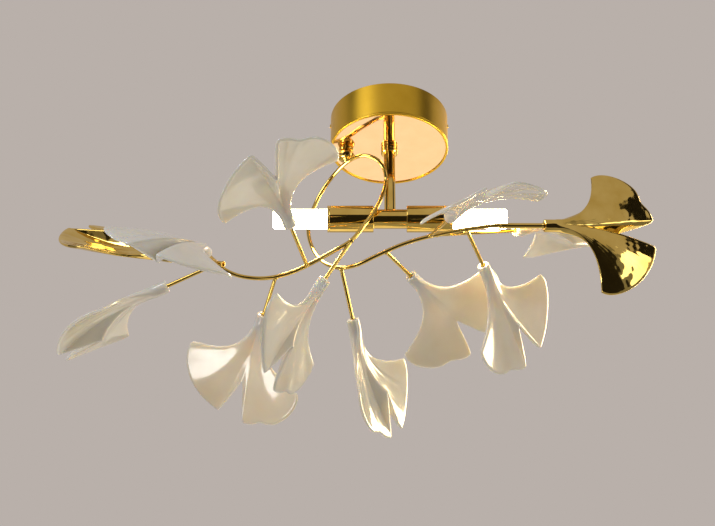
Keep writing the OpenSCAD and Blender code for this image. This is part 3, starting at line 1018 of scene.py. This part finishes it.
    def axes(self) -> Array:
        """The leaf's three axes in the light's frame, one per row: along the stalk, across and up."""
        along = self.twig.direction
        turn, roll = np.radians([self.twig.azimuth, self.roll])
        level = np.array([-np.sin(turn), np.cos(turn), 0])
        across = np.cos(roll) * level + np.sin(roll) * np.cross(along, level)
        return np.stack([along, across, np.cross(along, across)])

    def build(self, shop: Workshop, branch: Branch) -> None:
        """Make the leaf at the end of its twig."""
        mouth = branch.base(self.twig) + self.twig.length * self.twig.direction
        shop.piece(f"leaf_{self.number}", self.surface().placed(Place(mouth, np.eye(3))))


def grow_leaves() -> list[Leaf]:
    """The twelve leaves, in order round the branch.

    Each row gives the number, the twig, the roll, cup, droop and twist of the blade, the side of its nick, and
    which face is grooved: 1 the upper one, -1 the lower one, 0 neither.
    """
    rows = [
        (1, (4.8, -105, 9, 58), -145, 2, -20, -6, -1, 0),
        (2, (25.2, -72, -14, 56), 209, -6, -11, -8, 1, 1),
        (3, (28, 9, 6, 39), 100, 0, 22, 6, 1, -1),
        (4, (25.4, 31, 22, 103), 20, -2, 17, -7, 1, 0),
        (5, (26.3, 65, -22, 45), -61, -2, 11, -3, 1, 0),
        (6, (23.4, 51, -12, 40), -40, 0, -2, 0, 1, 0),
        (7, (21.2, 72, -46, 52), -76, -2, 21, -5, 1, -1),
        (8, (7, 172, -59, 52), 184, 7, -12, 5, 1, 0),
        (9, (3.4, 109, -28, 43), -147, -4, -2, 1, 1, 0),
        (10, (0, 166, -20, 53), -11, -11, 25, -11, -1, -1),
        (11, (0.1, -103, -18, 43), 138, 13, -36, 15, 1, 1),
        (12, (0, 154, 24, 57), 129, -8, 18, 16, 1, -1),
    ]
    return [Leaf(number, Twig(*twig), *shape) for number, twig, *shape in rows]


# Stage


@dataclass(frozen=True)
class SoftBox:
    """A rectangular lamp.

    Args:
        name: Name of the lamp.
        place: Its place in metres.
        size: Its width and height in metres.
        power: Its power in watts.
        colour: Its colour.
    """

    name: str
    place: Point
    size: Pair
    power: float
    colour: Colour


SOFT_BOXES = [
    SoftBox("key_box", (-1.6, -1.6, 0.6), (1.0, 1.0), 20, (0.98, 0.98, 1.0)),
    SoftBox("glaze_box", (-1.08, -0.18, -1.29), (0.22, 0.28), 1.4, (1.0, 0.99, 0.97)),
    SoftBox("warm_box", (0.45, 0.35, 0.02), (0.3, 0.3), 4, (1.0, 0.76, 0.4)),
    SoftBox("fill_box", (2.1, -0.9, -0.7), (0.6, 1.6), 7, (1.0, 0.96, 0.9)),
    SoftBox("back_box", (0.2, 1.7, -1.3), (3.0, 1.2), 10, (1.0, 0.88, 0.72)),
]
# Name, place and size in metres of each dark flag
FLAGS = [
    ("front_flag", (-0.03, -1.4, -1.1), (3.4, 2.6)),
    ("left_flag", (-1.5, -0.4, 0.8), (0.7, 1.8)),
    ("right_flag", (1.5, -0.4, 0.8), (0.7, 1.8)),
]


@dataclass
class Studio:
    """Camera, lamps, floor and air round the light."""

    target: Point = (-32.5, 0.0, -177.5)
    distance: float = 1953.0
    elevation: float = -33.4
    lens: float = 100.0
    floor_z: float = -2400.0
    floor_rings: tuple[float, ...] = (0.0, 2000.0, 5000.0, 9000.0, 14000.0)
    backdrop: Colour = (0.485, 0.434, 0.402)
    even_light: Colour = (0.97, 0.98, 1.0)
    even_strength: float = 0.3

    def aimed(self, data: bpy.types.ID, place: Point) -> bpy.types.Object:
        """Put a camera or lamp in the scene, aimed at the ceiling light.

        Args:
            data: The camera or lamp.
            place: Its place in metres.

        Returns:
            The new object.
        """
        thing = bpy.data.objects.new(data.name, data)
        thing.location = place
        aim = Vector(self.target) * METRES - Vector(place)
        thing.rotation_euler = aim.to_track_quat("-Z", "Y").to_euler()
        bpy.context.scene.collection.objects.link(thing)
        return thing

    def camera(self) -> None:
        """Camera at the photograph's angle, which looks up at the light."""
        lift = np.radians(self.elevation)
        back = np.array([0.0, -np.cos(lift), np.sin(lift)])
        data = bpy.data.cameras.new("camera")
        data.lens, data.sensor_width, data.clip_end = self.lens, 36.0, 50.0
        bpy.context.scene.camera = self.aimed(data, (np.array(self.target) + self.distance * back) * METRES)

    def lamp(self, box: SoftBox) -> None:
        """Hang a soft box."""
        data = bpy.data.lights.new(box.name, "AREA")
        data.shape, data.size, data.size_y = "RECTANGLE", *box.size
        data.energy, data.color = box.power, box.colour
        self.aimed(data, box.place).visible_camera = False

    def sheet(self, name: str, points: Array, quads: Array, recipe: Recipe) -> bpy.types.Object:
        """Make a flat piece of the stage.

        Args:
            name: Name of the piece.
            points: Array (n, 3) of its points in millimetres.
            quads: Array (faces, 4) of point numbers.
            recipe: Its material.

        Returns:
            The new object.
        """
        mesh = bpy.data.meshes.new(name)
        mesh.from_pydata((points * METRES).tolist(), [], quads.tolist())
        mesh.materials.append(recipe.material)
        thing = bpy.data.objects.new(name, mesh)
        bpy.context.scene.collection.objects.link(thing)
        return thing

    def floor(self) -> None:
        """Plain pale floor, a wide flat disc."""
        angle = np.linspace(0, 2 * np.pi, 96, endpoint=False)
        radius = np.array(self.floor_rings)[:, None]
        points = np.stack([radius * np.cos(angle), radius * np.sin(angle), self.floor_z + 0 * radius * angle], -1)
        recipe = Recipe("pale_floor")
        tone = recipe.mixed(recipe.noise(1.5, 3), (0.72, 0.68, 0.64), (0.7, 0.66, 0.62))
        recipe.surface(Base_Color=tone, Roughness=0.8)
        self.sheet("floor", points.reshape(-1, 3), grid_quads(len(radius), len(angle))[:, ::-1], recipe)

    def flag(self, name: str, place: Point, size: Pair) -> None:
        """Dark studio flag that only polished metal sees.

        Args:
            name: Name of the flag.
            place: Its place in metres.
            size: Its width and height in metres.
        """
        middle = np.array(place) / METRES
        facing = Place.along(middle, np.array(self.target) - middle)
        half = np.array(size) / METRES / 2
        across, up = half[:, None, None] * np.meshgrid(np.linspace(-1, 1, 3), np.linspace(-1, 1, 3))
        points = np.stack([across, up, 0 * across], -1).reshape(-1, 3) @ facing.axes + facing.origin
        # Four faces between three rows of three points
        quads = np.array([0, 1, 3, 4])[:, None] + [0, 1, 4, 3]
        recipe = Recipe(name + "_felt")
        tone = recipe.mixed(recipe.noise(8, 2), (0.012, 0.01, 0.008), (0.016, 0.013, 0.01))
        recipe.surface(Base_Color=tone, Roughness=0.95)
        thing = self.sheet(name, points, quads, recipe)
        thing.visible_camera = thing.visible_diffuse = thing.visible_shadow = thing.visible_transmission = False

    def air(self) -> None:
        """World that camera, mirror and glass see as the warm grey backdrop, and that lights all else evenly."""
        world = bpy.data.worlds.new("studio_air")
        world.use_nodes = True
        bpy.context.scene.world = world
        tree = world.node_tree
        new, link = tree.nodes.new, tree.links.new
        seen = tree.nodes["Background"]
        seen.inputs["Color"].default_value = (*self.backdrop, 1)
        even = new("ShaderNodeBackground")
        even.inputs["Color"].default_value = (*self.even_light, 1)
        even.inputs["Strength"].default_value = self.even_strength
        path = new("ShaderNodeLightPath").outputs
        sharp = path["Is Camera Ray"]
        for ray in ("Is Glossy Ray", "Is Transmission Ray"):
            either = new("ShaderNodeMath")
            either.operation = "MAXIMUM"
            link(sharp, either.inputs[0])
            link(path[ray], either.inputs[1])
            sharp = either.outputs[0]
        mix = new("ShaderNodeMixShader")
        for slot, socket in enumerate((sharp, even.outputs[0], seen.outputs[0])):
            link(socket, mix.inputs[slot])
        link(mix.outputs[0], tree.nodes["World Output"].inputs["Surface"])

    def build(self) -> None:
        """Set the whole stage."""
        bpy.context.scene.view_settings.view_transform = "Standard"
        self.camera()
        self.floor()
        self.air()
        for box in SOFT_BOXES:
            self.lamp(box)
        for name, place, size in FLAGS:
            self.flag(name, place, size)


def main() -> None:
    """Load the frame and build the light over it."""
    logging.basicConfig(level=logging.INFO, format="%(name)s %(message)s")
    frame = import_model()
    Studio().build()
    shop = Workshop(frame["nodes"], frame["record"])
    shop.dress_rest()
    branch, leaves = Branch(), grow_leaves()
    Canopy().build(shop)
    Stem().build(shop)
    LampBar().build(shop)
    for side in Side:
        Bulb(side).build(shop)
    branch.build(shop, leaves)
    for leaf in leaves:
        leaf.build(shop, branch)
    LOG.info("the light is dressed")


if __name__ == "__main__":
    main()
